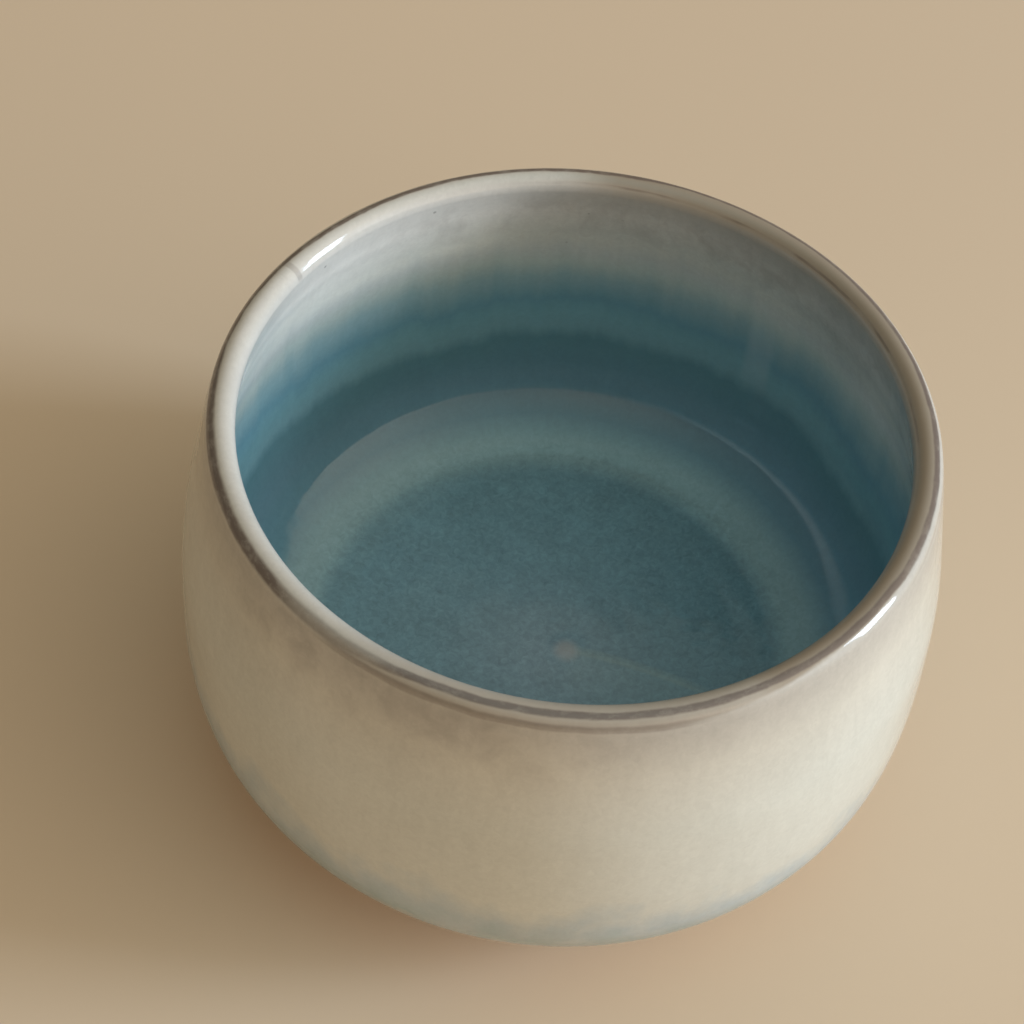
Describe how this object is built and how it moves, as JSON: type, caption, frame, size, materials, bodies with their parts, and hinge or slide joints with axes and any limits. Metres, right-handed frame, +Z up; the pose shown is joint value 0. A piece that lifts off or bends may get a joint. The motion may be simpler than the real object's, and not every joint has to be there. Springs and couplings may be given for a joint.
{
  "type": "matcha bowl",
  "caption": "Round thrown stoneware tea bowl with a rolled lip, full belly, low foot ring, white glaze outside and pooled blue glaze inside.",
  "frame": {"origin": "centre of the foot ring's resting face, on the bowl's axis", "axes": "+Z up along the bowl's axis, from the foot to the open mouth; +X and +Y are radii"},
  "size_m": [0.12, 0.12, 0.075],
  "materials": {
    "bare_clay": "matte, fine grained, unglazed",
    "foot_clay": "matte, fine grained, turned and smoothed",
    "pale_blue_glaze": "glossy",
    "white_glaze": "glossy",
    "iron_glaze": "glossy",
    "inner_white_glaze": "glossy",
    "blue_glaze": "glossy, pooled"
  },
  "bodies": {
    "root": {"clay_body": "bare_clay", "foot_ring": "foot_clay", "foot_hem_glaze": "pale_blue_glaze", "outer_white_glaze": "white_glaze", "lip_glaze": "iron_glaze", "inner_white_glaze": "inner_white_glaze", "inner_blue_glaze": "blue_glaze"}
  },
  "joints": []
}
